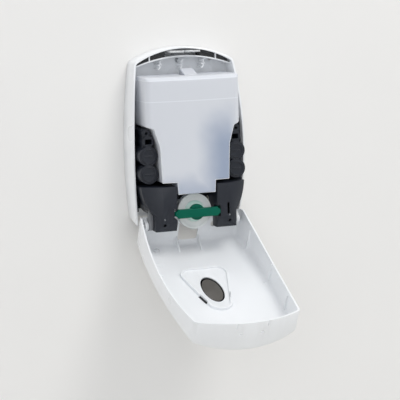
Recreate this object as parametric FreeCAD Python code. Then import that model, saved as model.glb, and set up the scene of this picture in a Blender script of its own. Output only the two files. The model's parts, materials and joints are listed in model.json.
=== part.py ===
"""Wall mounted foam soap dispenser with its front cover hanging open.

Frame: +X to the right, -Y out of the wall, +Z up. The origin lies on the wall
plane in the middle of the four wall screws. Lengths are in millimetres.
"""
import FreeCAD, Part
import math
import os

V = FreeCAD.Vector

# ---- casing outline, seen from the front --------------------------------
CORNER_HALF = 82.0          # half width at the two upper corners
CORNER_Z = 121.5
ARCH_TOP = 143.0            # crown of the arched top
BELLY_HALF = 93.0           # half width where the sides bulge most
BELLY_Z = -25.0
FOOT_HALF = 85.5            # half width at the bottom
FOOT_Z = -145.0
CORNER_R = 11.0
WALL = 2.4
BACK_T = 2.4

# ---- casing depth ---------------------------------------------------------
RIM_Y = -36.0               # parting line at the top corners
RIM_BULGE = 15.0            # how much further forward it is half way down
PART_GAP = 0.45
CROWN_TOP = 89.0            # depth of the closed cover at its top and bottom
CROWN_FOOT = 107.0
CROWN_SAG = 9.0             # fall of the crown from the middle to its sides
CROWN_R = 2400.0            # slight bow of the crown from top to bottom
COVER_EDGE_R = 10.0

# ---- cover hinge ------------------------------------------------------------
HINGE_Y = -52.0
HINGE_Z = -133.0
OPEN_ANGLE = 116.6
KNUCKLE_R = 14.0            # rounding of the cover about its hinge
PIN_R = 3.0
RUN_CLEAR = 0.05
LUG_X = (74.0, 79.0)
HANGER_X = (66.0, 73.4)
PIN_X = (64.5, 80.0)

# ---- cover inside -----------------------------------------------------------
FLOOR_Z = FOOT_Z + WALL
SIDE_RIB_Z = (-98.0, -8.0, 69.0)
SIDE_RIB_REACH = 2.2
WINDOW_Z = -14.0
WINDOW_A = 17.5             # half width and half height of the oval window
WINDOW_B = 34.0
BADGE_HALF = 45.0           # rounded triangle of the window surround
BADGE_TOP = 97.0
BADGE_LOW = -72.0
BADGE_R = 20.0

# ---- wall screws ------------------------------------------------------------
SCREW_DX = 110.0
SCREW_DZ = 240.0
SCREW_R = 2.6

# ---- latch in the arched top -----------------------------------------------
ARCH_RIB_Z = 129.5          # top of the inner arch
ARCH_RIB_T = 2.0
LATCH_HALF = 25.0
LATCH_GAP = 4.0
LATCH_TOP = 137.6
LATCH_T = 3.2

# ---- battery tubes ----------------------------------------------------------
CELL_R = 13.1
CELL_LEN = 50.0
CELL_CLEAR = 0.3
TUBE_WALL = 1.6
TUBE_X = 72.5
TUBE_Z = (-22.0, -50.4)
TUBE_FRONT = -65.0
TUBE_BACK = -8.2

# ---- refill -------------------------------------------------------------------
REFILL_HALF = 77.0
REFILL_TOP = 100.0
REFILL_STEP_Z = 24.0
REFILL_SHOULDER_Z = -64.0
REFILL_FOOT_Z = -83.0
REFILL_FRONT = -82.0
REFILL_BACK = -10.0
REFILL_WALL = 1.3
REFILL_CLEAR = 1.0
RIDGE_X = 8.0
RIDGE_W = 22.0

# ---- pump ---------------------------------------------------------------------
PUMP_Z = -113.0
PUMP_R = 28.0
PUMP_FRONT = -66.5
PUMP_BACK = -55.5
PORT_Y = -61.0
CHAMBER_R = 15.0
DOME_H = 5.0

# ---- drive ----------------------------------------------------------------------
BAR_HALF = 33.0
BAR_H = 14.0
BAR_FRONT = -84.5
BAR_BACK = -78.5
BAR_Z = -113.5
ARM_X = (41.0, 46.0)
MODULE = 1.0
PINION_TEETH = 12
RACK_TEETH = 8              # behind the shaft, less those past the end of the arm
SHAFT_Y = -36.0
SHAFT_Z = -100.0
SHAFT_R = 3.0
GEAR_MODULE = 0.8
GEAR_TEETH = 32
MOTOR_TEETH = 12
MESH_ANGLE = 133.0
BACKLASH = 0.24
PRESSURE = math.radians(20)
ADDENDUM = 0.7
DEDENDUM = 1.2
HOUSING_INNER = 33.5
HOUSING_FRONT = -81.0
HOUSING_T = 2.0

os.makedirs("parts", exist_ok=True)


def save(name, *solids):
    """Write one node; several solids stay separate inside it."""
    kept = []
    for shape in solids:
        kept.extend(shape.Solids)
    shape = kept[0] if len(kept) == 1 else Part.makeCompound(kept)
    for solid in kept:
        if not solid.isValid() or solid.Volume <= 0:
            raise RuntimeError(name + " is not a sound solid")
    shape.exportStep("parts/" + name + ".step")
    return shape


def box(x0, x1, y0, y1, z0, z1):
    lo = V(min(x0, x1), min(y0, y1), min(z0, z1))
    hi = V(max(x0, x1), max(y0, y1), max(z0, z1))
    return Part.makeBox(hi.x - lo.x, hi.y - lo.y, hi.z - lo.z, lo)


def rod_x(y, z, r, x0, x1):
    return Part.makeCylinder(r, abs(x1 - x0), V(min(x0, x1), y, z), V(1, 0, 0))


def rod_y(x, z, r, y0, y1):
    return Part.makeCylinder(r, abs(y1 - y0), V(x, min(y0, y1), z), V(0, 1, 0))


def rod_z(x, y, r, z0, z1):
    return Part.makeCylinder(r, abs(z1 - z0), V(x, y, min(z0, z1)), V(0, 0, 1))


def prism(points, normal):
    """Solid swept from a closed flat outline of corner points."""
    wire = Part.makePolygon([V(*p) for p in points] + [V(*points[0])])
    return Part.Face(wire).extrude(V(*normal))


def mirrored(shape):
    return shape.mirror(V(0, 0, 0), V(1, 0, 0))


def fuse(first, *others):
    return first.fuse(list(others)).removeSplitter()


def drop(first, *others):
    return first.cut(list(others))


def edges_near(shape, test):
    return [e for e in shape.Edges if test(e)]


def open_cover(shape):
    """Swing a piece of the closed cover down to its open stop."""
    turned = shape.copy()
    turned.rotate(V(0, HINGE_Y, HINGE_Z), V(1, 0, 0), OPEN_ANGLE)
    return turned


def spring(centre, axis, radius, wire_r, length, turns):
    """Coil spring from a helix, with its length along the given axis."""
    helix = Part.makeHelix(length / turns, length, radius)
    ring = Part.Wire(Part.makeCircle(wire_r, V(radius, 0, 0), V(0, 1, 0)))
    coil = Part.Wire(helix.Edges).makePipeShell([ring], True, True)
    coil.Placement = FreeCAD.Placement(V(*centre), FreeCAD.Rotation(V(0, 0, 1), V(*axis)))
    return coil


# ---- casing ---------------------------------------------------------------------
def outline(inset, y0, y1):
    """Prism of the casing's front outline, moved in by inset all round."""
    half_top = CORNER_HALF - inset
    half_foot = FOOT_HALF - inset
    z_corner = CORNER_Z - inset * 1.15
    z_foot = FOOT_Z + inset
    top_left, top_right = V(-half_top, y0, z_corner), V(half_top, y0, z_corner)
    foot_left, foot_right = V(-half_foot, y0, z_foot), V(half_foot, y0, z_foot)
    belly = BELLY_HALF - inset
    wire = Part.Wire([
        Part.Arc(top_left, V(0, y0, ARCH_TOP - inset), top_right).toShape(),
        Part.Arc(top_right, V(belly, y0, BELLY_Z), foot_right).toShape(),
        Part.makeLine(foot_right, foot_left),
        Part.Arc(foot_left, V(-belly, y0, BELLY_Z), top_left).toShape(),
    ])
    body = Part.Face(wire).extrude(V(0, y1 - y0, 0))
    radius = max(CORNER_R - inset, 1.0)
    corners = edges_near(body, lambda e: abs(e.BoundBox.YLength - abs(y1 - y0)) < 1e-3)
    return body.makeFillet(radius, corners)


def parting_drum(extra):
    """The parting surface is part of a drum lying across the casing."""
    half = (CORNER_Z - FOOT_Z) / 2 - 4.0
    radius = (half * half + RIM_BULGE * RIM_BULGE) / (2 * RIM_BULGE)
    mid_z = CORNER_Z - half
    return rod_x(RIM_Y - RIM_BULGE + radius, mid_z, radius + extra, -120, 120)


def crown(inset):
    """Everything behind the bowed front face of the cover."""
    top_z, foot_z = ARCH_TOP, FOOT_Z
    tilt = math.atan2(CROWN_FOOT - CROWN_TOP, top_z - foot_z)
    mid = V(0, -(CROWN_TOP + CROWN_FOOT) / 2 + inset, (top_z + foot_z) / 2)
    face_r = (CORNER_HALF * CORNER_HALF + CROWN_SAG * CROWN_SAG) / (2 * CROWN_SAG)
    reach = 110.0
    fall = face_r - math.sqrt(face_r * face_r - reach * reach)
    arc = Part.Arc(V(-reach, mid.y + fall, mid.z), V(0, mid.y, mid.z), V(reach, mid.y + fall, mid.z))
    back = 40.0
    wire = Part.Wire([
        arc.toShape(),
        Part.makeLine(V(reach, mid.y + fall, mid.z), V(reach, back, mid.z)),
        Part.makeLine(V(reach, back, mid.z), V(-reach, back, mid.z)),
        Part.makeLine(V(-reach, back, mid.z), V(-reach, mid.y + fall, mid.z)),
    ])
    swing = math.degrees(190.0 / CROWN_R)
    axis_y = mid.y + CROWN_R
    face = Part.Face(wire)
    face.rotate(V(0, axis_y, mid.z), V(1, 0, 0), -swing)
    body = face.revolve(V(0, axis_y, mid.z), V(1, 0, 0), 2 * swing)
    body.rotate(V(0, mid.y, mid.z), V(1, 0, 0), -math.degrees(tilt))
    return body


def cover_form(inset, edge_r):
    body = outline(inset, 30, -130).common(crown(inset))
    rim = edges_near(body, lambda e: e.BoundBox.YMax < -60)
    return body.makeFillet(edge_r, rim)


def build_back_shell():
    shell = outline(0, 0, -70).cut(outline(WALL, -BACK_T, -80))
    shell = shell.common(parting_drum(0))
    below = prism([(-120, 1, -124.5), (-120, -80, -145.5), (-120, -80, -170), (-120, 1, -170)],
                  (240, 0, 0))
    shell = shell.cut(below)
    # inner arch that closes the latch channel
    drop_z = ARCH_TOP - WALL - ARCH_RIB_Z
    side = CORNER_HALF - WALL + 0.6
    end_z = CORNER_Z - drop_z + 4.0

    def arch(z_shift, y0, y1):
        left, right = V(-side, y0, end_z + z_shift), V(side, y0, end_z + z_shift)
        curve = Part.Arc(left, V(0, y0, ARCH_RIB_Z + z_shift), right).toShape()
        low = Part.makeLine(right, V(side, y0, 60)), Part.makeLine(V(side, y0, 60), V(-side, y0, 60))
        wire = Part.Wire([curve, low[0], low[1], Part.makeLine(V(-side, y0, 60), left)])
        return Part.Face(wire).extrude(V(0, y1 - y0, 0))

    rib_front = RIM_Y + 6.5
    inner_arch = arch(0, -1, rib_front).cut(arch(-ARCH_RIB_T, 0, rib_front - 5))
    channel = outline(WALL * 0.5, -1, rib_front).cut(arch(-1, 0, rib_front - 5))
    ribs = [box(x - 0.8, x + 0.8, -1, rib_front, 100, 150).common(channel) for x in (-55, 55)]
    # curved ribs in the upper recess
    for x in (-36, 0, 36):
        for x_c, z_c, sign in ((x + 3.4, 119.0, -1), (x - 3.4, 112.2, 1)):
            ring = rod_y(x_c, z_c, 4.2, -1, -24).cut(rod_y(x_c, z_c, 2.6, 0, -25))
            half_side = box(x_c, x_c + sign * 8, 1, -26, z_c - 8, z_c + 8)
            ribs.append(ring.common(half_side))
    bosses = [rod_y(sx * 62, z, 4.5, -1, -5.4) for sx in (-1, 1) for z in (14.0, -96.0)]
    shell = fuse(shell, inner_arch, *ribs, *bosses)
    holes = [rod_y(sx * SCREW_DX / 2, sz * SCREW_DZ / 2, SCREW_R, 1, -BACK_T - 1)
             for sx in (-1, 1) for sz in (-1, 1)]
    pilots = [rod_y(sx * 62, z, 1.5, -1.0, -6) for sx in (-1, 1) for z in (14.0, -96.0)]
    return drop(shell, *holes, *pilots), arch


BACK_SHELL, ARCH = build_back_shell()
save("back_shell", BACK_SHELL)


def build_trim():
    strip = outline(WALL + 0.35, -8, -27).cut(ARCH(0.35, 0, -40))
    pieces = []
    for side in (-1, 1):
        pieces.append(strip.common(box(side * 28.5, side * 53.9, 0, -40, 100, 150)))
        pieces.append(strip.common(box(side * 56.1, side * 75.0, 0, -40, 100, 150)))
    return pieces


save("latch_trim", *build_trim())

z_low = LATCH_TOP - LATCH_T
slider = box(-LATCH_HALF, LATCH_HALF, -10, -30, z_low, LATCH_TOP)
for side in (-1, 1):
    tongue = box(side * LATCH_GAP / 2, side * LATCH_HALF, -30, -42, z_low, LATCH_TOP)
    tip = edges_near(tongue, lambda e: e.BoundBox.YMax < -41.9 and e.BoundBox.XLength > 5)
    slider = slider.fuse(tongue.makeFillet(1.2, tip))
save("latch_slider", slider.removeSplitter())
save("latch_springs", *[spring((sx * 14, -20, ARCH_RIB_Z + 0.1), (0, 0, 1), 2.0, 0.4,
                               z_low - ARCH_RIB_Z - 0.6, 3) for sx in (-1, 1)])

# ---- charcoal carrier --------------------------------------------------------------
PLATE_Y = (-8.0, -5.5)
tray = outline(WALL + 0.5, PLATE_Y[1], -41).cut(outline(WALL + 2.2, PLATE_Y[0], -60))
tray = tray.common(box(-120, 120, 0, -60, -112, 27))
tray = tray.cut(Part.makeCompound([rod_y(sx * 62, z, 1.7, 0, -9) for sx in (-1, 1)
                                   for z in (14.0, -96.0)]))
save("carrier_tray", tray)


def carrier_screw(x, z, y_head):
    head = rod_y(x, z, 3.2, y_head, y_head - 2.0)
    cross = fuse(box(x - 2, x + 2, y_head - 2.1, y_head - 1.2, z - 0.4, z + 0.4),
                 box(x - 0.4, x + 0.4, y_head - 2.1, y_head - 1.2, z - 2, z + 2))
    return fuse(head.cut(cross), rod_y(x, z, 1.5, y_head, -1.2))


save("carrier_screws", *[carrier_screw(sx * 62, z, PLATE_Y[0]) for sx in (-1, 1) for z in (14.0, -96.0)])

BORE_R = CELL_R + CELL_CLEAR
TUBE_R = BORE_R + TUBE_WALL


def battery_housing():
    """Right-hand pair of battery tubes with the slot and boss above them."""
    body = rod_y(TUBE_X, TUBE_Z[0], TUBE_R, TUBE_BACK, TUBE_FRONT)
    body = fuse(body, rod_y(TUBE_X, TUBE_Z[1], TUBE_R, TUBE_BACK, TUBE_FRONT),
                rod_y(TUBE_X - 0.5, 0.5, 9.0, -20, TUBE_FRONT + 1.5),
                rod_y(TUBE_X + 2.0, 13.5, 6.2, -20, TUBE_FRONT + 3.0),
                box(TUBE_X - 8, TUBE_X + 8, -20, TUBE_FRONT + 5, -20, 10))
    bores = [rod_y(TUBE_X, z, BORE_R, TUBE_BACK + 1, TUBE_FRONT - 1) for z in TUBE_Z]
    slot = box(TUBE_X - 6, TUBE_X + 5, -34, TUBE_FRONT - 1, -3.5, 4.5)
    hole = rod_y(TUBE_X + 2.0, 13.5, 2.2, -50, TUBE_FRONT - 1)
    core = box(TUBE_X - 5, TUBE_X + 5, -22, -50, -6.0, 8)
    return drop(body, *bores, slot, hole, core)


HOUSING = battery_housing()
save("battery_housing_right", HOUSING)
save("battery_housing_left", mirrored(HOUSING))

CAP_T = 2.6
for side, word in ((-1, "left"), (1, "right")):
    caps = []
    for z, level in zip(TUBE_Z, ("upper", "lower")):
        x = side * TUBE_X
        can = rod_y(x, z, CELL_R, TUBE_FRONT + CAP_T + 1.6, TUBE_FRONT + CAP_T + CELL_LEN)
        nub = rod_y(x, z, 3.0, TUBE_FRONT + CAP_T + 0.2, TUBE_FRONT + CAP_T + 1.6)
        save("battery_%s_%s" % (word, level), fuse(can, nub))
        disc = rod_y(x, z, BORE_R, TUBE_FRONT, TUBE_FRONT + CAP_T)
        ring = rod_y(x, z, 11.6, TUBE_FRONT, TUBE_FRONT - 1.2).cut(
            rod_y(x, z, 10.2, TUBE_FRONT + 1, TUBE_FRONT - 2))
        grip = box(x - 6.5, x + 6.5, TUBE_FRONT, TUBE_FRONT - 0.8, z - 1.1, z + 1.1)
        caps.append(fuse(disc, ring, grip))
    save("battery_caps_" + word, *caps)
contacts = []
for side in (-1, 1):
    for z in TUBE_Z:
        plate = rod_y(side * TUBE_X, z, 9.0, TUBE_BACK - 0.2, TUBE_BACK - 0.8)
        cone = Part.makeCone(6.0, 2.4, 3.0, V(side * TUBE_X, TUBE_BACK - 0.8, z), V(0, -1, 0))
        contacts.append(fuse(plate, cone))
save("battery_contacts", *contacts)


def drive_housing():
    """Right-hand lower block: hollow, stepped, with a foot below it."""
    z_top, z_mid, z_low = -70.0, -116.5, -140.5
    inner, outer = HOUSING_INNER, 86.0

    def block(t):
        a, b = inner + t, outer - t
        top = z_top - t
        wire = Part.Wire([
            Part.makeLine(V(a, 0, z_mid + t), V(a, 0, top)),
            Part.makeLine(V(a, 0, top), V(b, 0, top)),
            Part.Arc(V(b, 0, top), V(b - 6.5, 0, -97), V(67.0 - t, 0, z_mid + t)).toShape(),
            Part.makeLine(V(67.0 - t, 0, z_mid + t), V(a, 0, z_mid + t)),
        ])
        body = Part.Face(wire).extrude(V(0, HOUSING_FRONT + t, 0))
        body = body.cut(box(0, 100, -10.6 - t, 10, -200, 0))
        slant = prism([(56, HOUSING_FRONT - 1 + t, -60), (100, HOUSING_FRONT - 1 + t, -60),
                       (100, -58 + t, -60), (88, -62 + t, -60), (56, HOUSING_FRONT + t, -60)],
                      (0, 0, -80))
        return body.cut(slant)

    foot = box(inner, 67.0, -57, HOUSING_FRONT, z_low, z_mid)
    slope = prism([(inner - 1, HOUSING_FRONT - 1, z_low - 1), (inner - 1, HOUSING_FRONT + 6, z_low - 1),
                   (inner - 1, HOUSING_FRONT - 1, -126)], (60, 0, 0))
    slant_foot = prism([(56, HOUSING_FRONT - 1, -110), (100, HOUSING_FRONT - 1, -110),
                        (100, -58, -110), (88, -62, -110), (56, HOUSING_FRONT, -110)], (0, 0, -40))
    foot = drop(foot, slope, slant_foot)
    foot_core = drop(box(inner + 2, 65.0, -59, HOUSING_FRONT + 2.2, z_low + 2, z_mid + 4),
                     prism([(0, HOUSING_FRONT, z_low), (0, HOUSING_FRONT + 8.5, z_low),
                            (0, HOUSING_FRONT, -122)], (100, 0, 0)),
                     prism([(54, HOUSING_FRONT - 1, -100), (100, HOUSING_FRONT - 1, -100),
                            (100, -56, -100), (86, -60, -100), (54, HOUSING_FRONT + 2.2, -100)],
                           (0, 0, -60)))
    # the screw boss is kept solid inside the foot
    boss = rod_y(54, -128, 4.5, -59.5, HOUSING_FRONT + 2)
    body = fuse(block(0), foot)
    body = drop(body, block(HOUSING_T))
    body = body.cut(drop(foot_core, boss, box(60, 70, -50, -90, -150, -100)))
    seat = box(inner + 1, 40.6, -61, -64, -117, -109.5)
    body = fuse(body, seat)
    mouth = box(inner - 1, 38.4, HOUSING_FRONT - 2, HOUSING_FRONT + 4.5, -122, -105)
    side_gap = box(inner - 1, inner + 3, HOUSING_FRONT - 2, -65.5, -121.5, -105.5)
    shaft_hole = rod_x(SHAFT_Y, SHAFT_Z, SHAFT_R + 2.0, inner - 1, inner + 3)
    screw_hole = rod_y(54, -121, 1.6, -70, HOUSING_FRONT - 1)
    low_hole = rod_y(54, -130, 2.4, -70, HOUSING_FRONT - 1)
    return drop(body, mouth, side_gap, shaft_hole, screw_hole, low_hole)


DRIVE_HOUSING = drive_housing()
service_slot = box(50.0, 53.4, HOUSING_FRONT - 2, HOUSING_FRONT + 5, -119.5, -101.5)
save("drive_housing_right", DRIVE_HOUSING.cut(service_slot))
save("drive_housing_left", mirrored(DRIVE_HOUSING))

HANGER_R = 8.0
hanger = fuse(rod_x(HINGE_Y, HINGE_Z, HANGER_R, *HANGER_X),
              box(*HANGER_X, HINGE_Y - HANGER_R, HINGE_Y - 0.5, HINGE_Z, -112.0),
              box(*HANGER_X, HINGE_Y - HANGER_R, -57.2, -112.0, -100.0))
hanger = hanger.cut(rod_x(HINGE_Y, HINGE_Z, PIN_R, 60, 90))
hanger = hanger.cut(DRIVE_HOUSING)
hanger = max(hanger.Solids, key=lambda s: s.Volume)
save("hinge_brackets", hanger, mirrored(hanger))
pin = fuse(rod_x(HINGE_Y, HINGE_Z, PIN_R, *PIN_X), rod_x(HINGE_Y, HINGE_Z, PIN_R + 1.4, PIN_X[1], PIN_X[1] + 1.2))
save("hinge_pins", pin, mirrored(pin))

# ---- refill cassette -----------------------------------------------------------------


def refill_form(t):
    """Stepped bottle; t moves every face inwards."""
    half_tube = TUBE_X - TUBE_R - REFILL_CLEAR - t
    right = [
        (REFILL_HALF - t, REFILL_TOP - t), (REFILL_HALF - t, REFILL_STEP_Z + t),
        (REFILL_HALF - 11.0 - t, REFILL_STEP_Z - 4.0 + t), (half_tube + 1.0, -8.0),
        (half_tube - 1.0, REFILL_SHOULDER_Z + t), (HOUSING_INNER - 1.5 - t, REFILL_SHOULDER_Z + t),
        (HOUSING_INNER - 2.5 - t, REFILL_FOOT_Z + t),
    ]
    points = right + [(-x, z) for x, z in reversed(right)]
    face = prism([(x, 5, z) for x, z in points], (0, -120, 0))
    half, front, back = REFILL_HALF - t, REFILL_FRONT + t, REFILL_BACK - t
    bow = Part.Arc(V(-half, front + 7, 0), V(0, front, 0), V(half, front + 7, 0)).toShape()
    plan = Part.Wire([bow, Part.makeLine(V(half, front + 7, 0), V(half, back, 0)),
                      Part.makeLine(V(half, back, 0), V(-half, back, 0)),
                      Part.makeLine(V(-half, back, 0), V(-half, front + 7, 0))])
    body = Part.Face(plan).extrude(V(0, 0, 200))
    body.translate(V(0, 0, -95))
    tall = edges_near(body, lambda e: e.BoundBox.ZLength > 190)
    return face.common(body.makeFillet(max(6.0 - t, 2.0), tall))


OUTLET_R = 5.0
bottle = refill_form(0).cut(refill_form(REFILL_WALL))
bottle = bottle.cut(rod_z(0, PORT_Y, OUTLET_R, REFILL_FOOT_Z - 2, REFILL_FOOT_Z + 3))
# sloping ridge on top, left where the mould halves pinch the neck
ridge = prism([(0, -29, REFILL_TOP - 0.6), (0, -29, REFILL_TOP + 9), (0, -34, REFILL_TOP + 10),
               (0, -72, REFILL_TOP - 0.6)], (RIDGE_W, 0, 0))
ridge.translate(V(RIDGE_X - RIDGE_W / 2, 0, 0))
along = edges_near(ridge, lambda e: e.BoundBox.XLength < 0.1 and e.BoundBox.ZMax > REFILL_TOP + 8
                   and e.BoundBox.YLength > 20)
bottle = bottle.fuse(ridge.makeFillet(6.0, along)).removeSplitter()
save("refill_bottle", bottle)
stub = fuse(rod_z(0, PORT_Y, OUTLET_R, REFILL_FOOT_Z - 5, REFILL_FOOT_Z + REFILL_WALL),
            rod_z(0, PORT_Y, OUTLET_R + 2, REFILL_FOOT_Z + REFILL_WALL, REFILL_FOOT_Z + 3))
save("refill_outlet", stub.cut(rod_z(0, PORT_Y, 3.2, REFILL_FOOT_Z - 6, REFILL_FOOT_Z + 4)))

# ---- foam pump ---------------------------------------------------------------------------
NOZZLE_R = 4.0
top_cut = box(-50, 50, 0, -100, REFILL_FOOT_Z - 0.6, 0)
pump = drop(rod_y(0, PUMP_Z, PUMP_R, PUMP_BACK, PUMP_FRONT), top_cut)
pump = drop(pump,
            rod_y(0, PUMP_Z, CHAMBER_R, PUMP_FRONT + 8, PUMP_FRONT - 1),
            rod_y(0, PUMP_Z, CHAMBER_R + 2.0, PUMP_FRONT + 1.6, PUMP_FRONT - 1),
            rod_y(0, PUMP_Z, PUMP_R - 3.0, PUMP_FRONT + 0.8, PUMP_FRONT - 1).cut(
                rod_y(0, PUMP_Z, CHAMBER_R + 4.0, PUMP_FRONT + 3, PUMP_FRONT - 3)),
            rod_z(0, PORT_Y, OUTLET_R, REFILL_FOOT_Z - 5, REFILL_FOOT_Z + 5),
            rod_z(0, PORT_Y, 2.8, PUMP_Z, REFILL_FOOT_Z - 3),
            rod_z(0, PORT_Y, 2.0, PUMP_Z, PUMP_Z - PUMP_R - 1),
            rod_z(0, PORT_Y, NOZZLE_R, PUMP_Z - PUMP_R + 5, PUMP_Z - PUMP_R - 2))
save("pump_body", pump)
save("pump_inlet_valve", Part.makeSphere(2.4, V(0, PORT_Y, REFILL_FOOT_Z - 9)))
dome = drop(rod_y(0, PUMP_Z, CHAMBER_R + 2.0, PUMP_FRONT + 1.6, PUMP_FRONT),
            rod_y(0, PUMP_Z, CHAMBER_R - 1.5, PUMP_FRONT + 3, PUMP_FRONT - 1))
cap_r = (CHAMBER_R * CHAMBER_R + DOME_H * DOME_H) / (2 * DOME_H)
cap_mid = V(0, PUMP_FRONT - DOME_H + cap_r, PUMP_Z)
shell_cap = Part.makeSphere(cap_r, cap_mid).cut(Part.makeSphere(cap_r - 1.2, cap_mid))
shell_cap = shell_cap.common(rod_y(0, PUMP_Z, CHAMBER_R, PUMP_FRONT, PUMP_FRONT - DOME_H - 1))
save("pump_diaphragm", fuse(dome, shell_cap))
nozzle = fuse(rod_z(0, PORT_Y, NOZZLE_R, PUMP_Z - PUMP_R + 5, PUMP_Z - PUMP_R),
              rod_z(0, PORT_Y, NOZZLE_R + 2.0, PUMP_Z - PUMP_R, PUMP_Z - PUMP_R - 1.2))
save("pump_nozzle", drop(nozzle, rod_z(0, PORT_Y, 2.0, -100, -160)))
save("nozzle_mesh", rod_z(0, PORT_Y, 1.9, PUMP_Z - PUMP_R + 2.0, PUMP_Z - PUMP_R + 1.2))

# ---- drive ----------------------------------------------------------------------------------
PINION_R = MODULE * PINION_TEETH / 2


def involute(angle):
    return math.tan(angle) - angle


def spur_gear(module, teeth, width, y, z, x0, tooth_angle, hub_r):
    """Spur gear about an axis along X, with one tooth at tooth_angle from +Y."""
    pitch_r = module * teeth / 2
    base_r = pitch_r * math.cos(PRESSURE)
    root_r, tip_r = pitch_r - DEDENDUM * module, pitch_r + ADDENDUM * module
    half_pitch = (math.pi * module / 2 - BACKLASH / 2) / (2 * pitch_r)
    radii = [root_r] + [max(base_r, root_r) + (tip_r - max(base_r, root_r)) * k / 4 for k in range(5)]
    flank = []
    for r in radii:
        roll = math.acos(min(1.0, base_r / r))
        flank.append((r, half_pitch + involute(PRESSURE) - involute(roll)))
    points = []
    for tooth in range(teeth):
        mid = math.radians(tooth_angle) + 2 * math.pi * tooth / teeth
        for r, half in flank:
            points.append((x0, y + r * math.cos(mid - half), z + r * math.sin(mid - half)))
        for r, half in reversed(flank):
            points.append((x0, y + r * math.cos(mid + half), z + r * math.sin(mid + half)))
    return prism(points, (width, 0, 0)).cut(rod_x(y, z, hub_r, x0 - 1, x0 + width + 1))


PINION_X = (ARM_X[0] - 1.0, ARM_X[1] + 1.0)
left_pinion = spur_gear(MODULE, PINION_TEETH, PINION_X[1] - PINION_X[0], SHAFT_Y, SHAFT_Z,
                        -PINION_X[1], -90, SHAFT_R)
save("rack_pinion_left", left_pinion)
save("rack_pinion_right", mirrored(left_pinion))
GEAR_X = -58.0
GEAR_T = 4.5
save("drive_gear", spur_gear(GEAR_MODULE, GEAR_TEETH, GEAR_T, SHAFT_Y, SHAFT_Z, GEAR_X,
                             MESH_ANGLE, SHAFT_R))
save("drive_shaft", rod_x(SHAFT_Y, SHAFT_Z, SHAFT_R, GEAR_X - 1.5, PINION_X[1] + 1.5))
bush = drop(fuse(rod_x(SHAFT_Y, SHAFT_Z, SHAFT_R + 2.0, HOUSING_INNER - 1, HOUSING_INNER + 2.0),
                 rod_x(SHAFT_Y, SHAFT_Z, SHAFT_R + 3.5, HOUSING_INNER + 2.0, HOUSING_INNER + 4.0)),
            rod_x(SHAFT_Y, SHAFT_Z, SHAFT_R + RUN_CLEAR, 0, 60))
save("shaft_bushes", bush, mirrored(bush))

centre = GEAR_MODULE * (GEAR_TEETH + MOTOR_TEETH) / 2
MOTOR_Y = SHAFT_Y + centre * math.cos(math.radians(MESH_ANGLE))
MOTOR_Z = SHAFT_Z + centre * math.sin(math.radians(MESH_ANGLE))
MOTOR_R = 9.0
motor_tooth = MESH_ANGLE + 180 + 180.0 / MOTOR_TEETH
save("motor_pinion", fuse(
    spur_gear(GEAR_MODULE, MOTOR_TEETH, GEAR_T + 1.5, MOTOR_Y, MOTOR_Z, GEAR_X - 0.7, motor_tooth, 1.0),
    rod_x(MOTOR_Y, MOTOR_Z, 1.0, GEAR_X - 7.5, GEAR_X + GEAR_T + 0.8)))
motor = fuse(rod_x(MOTOR_Y, MOTOR_Z, MOTOR_R, GEAR_X - 4.0, GEAR_X - 20.0),
             rod_x(MOTOR_Y, MOTOR_Z, 3.0, GEAR_X - 2.6, GEAR_X - 4.0),
             rod_x(MOTOR_Y, MOTOR_Z, 3.0, GEAR_X - 20.0, GEAR_X - 21.6))
save("drive_motor", motor.cut(rod_x(MOTOR_Y, MOTOR_Z, 1.0 + RUN_CLEAR, GEAR_X, GEAR_X - 8.0)))
clamp = drop(box(GEAR_X - 6.0, GEAR_X - 9.0, MOTOR_Y - 12, MOTOR_Y + 10, MOTOR_Z + 2, MOTOR_Z + 14.5),
             rod_x(MOTOR_Y, MOTOR_Z, MOTOR_R, GEAR_X, GEAR_X - 30))
save("motor_bracket", max(clamp.Solids, key=lambda s: s.Volume))


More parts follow.
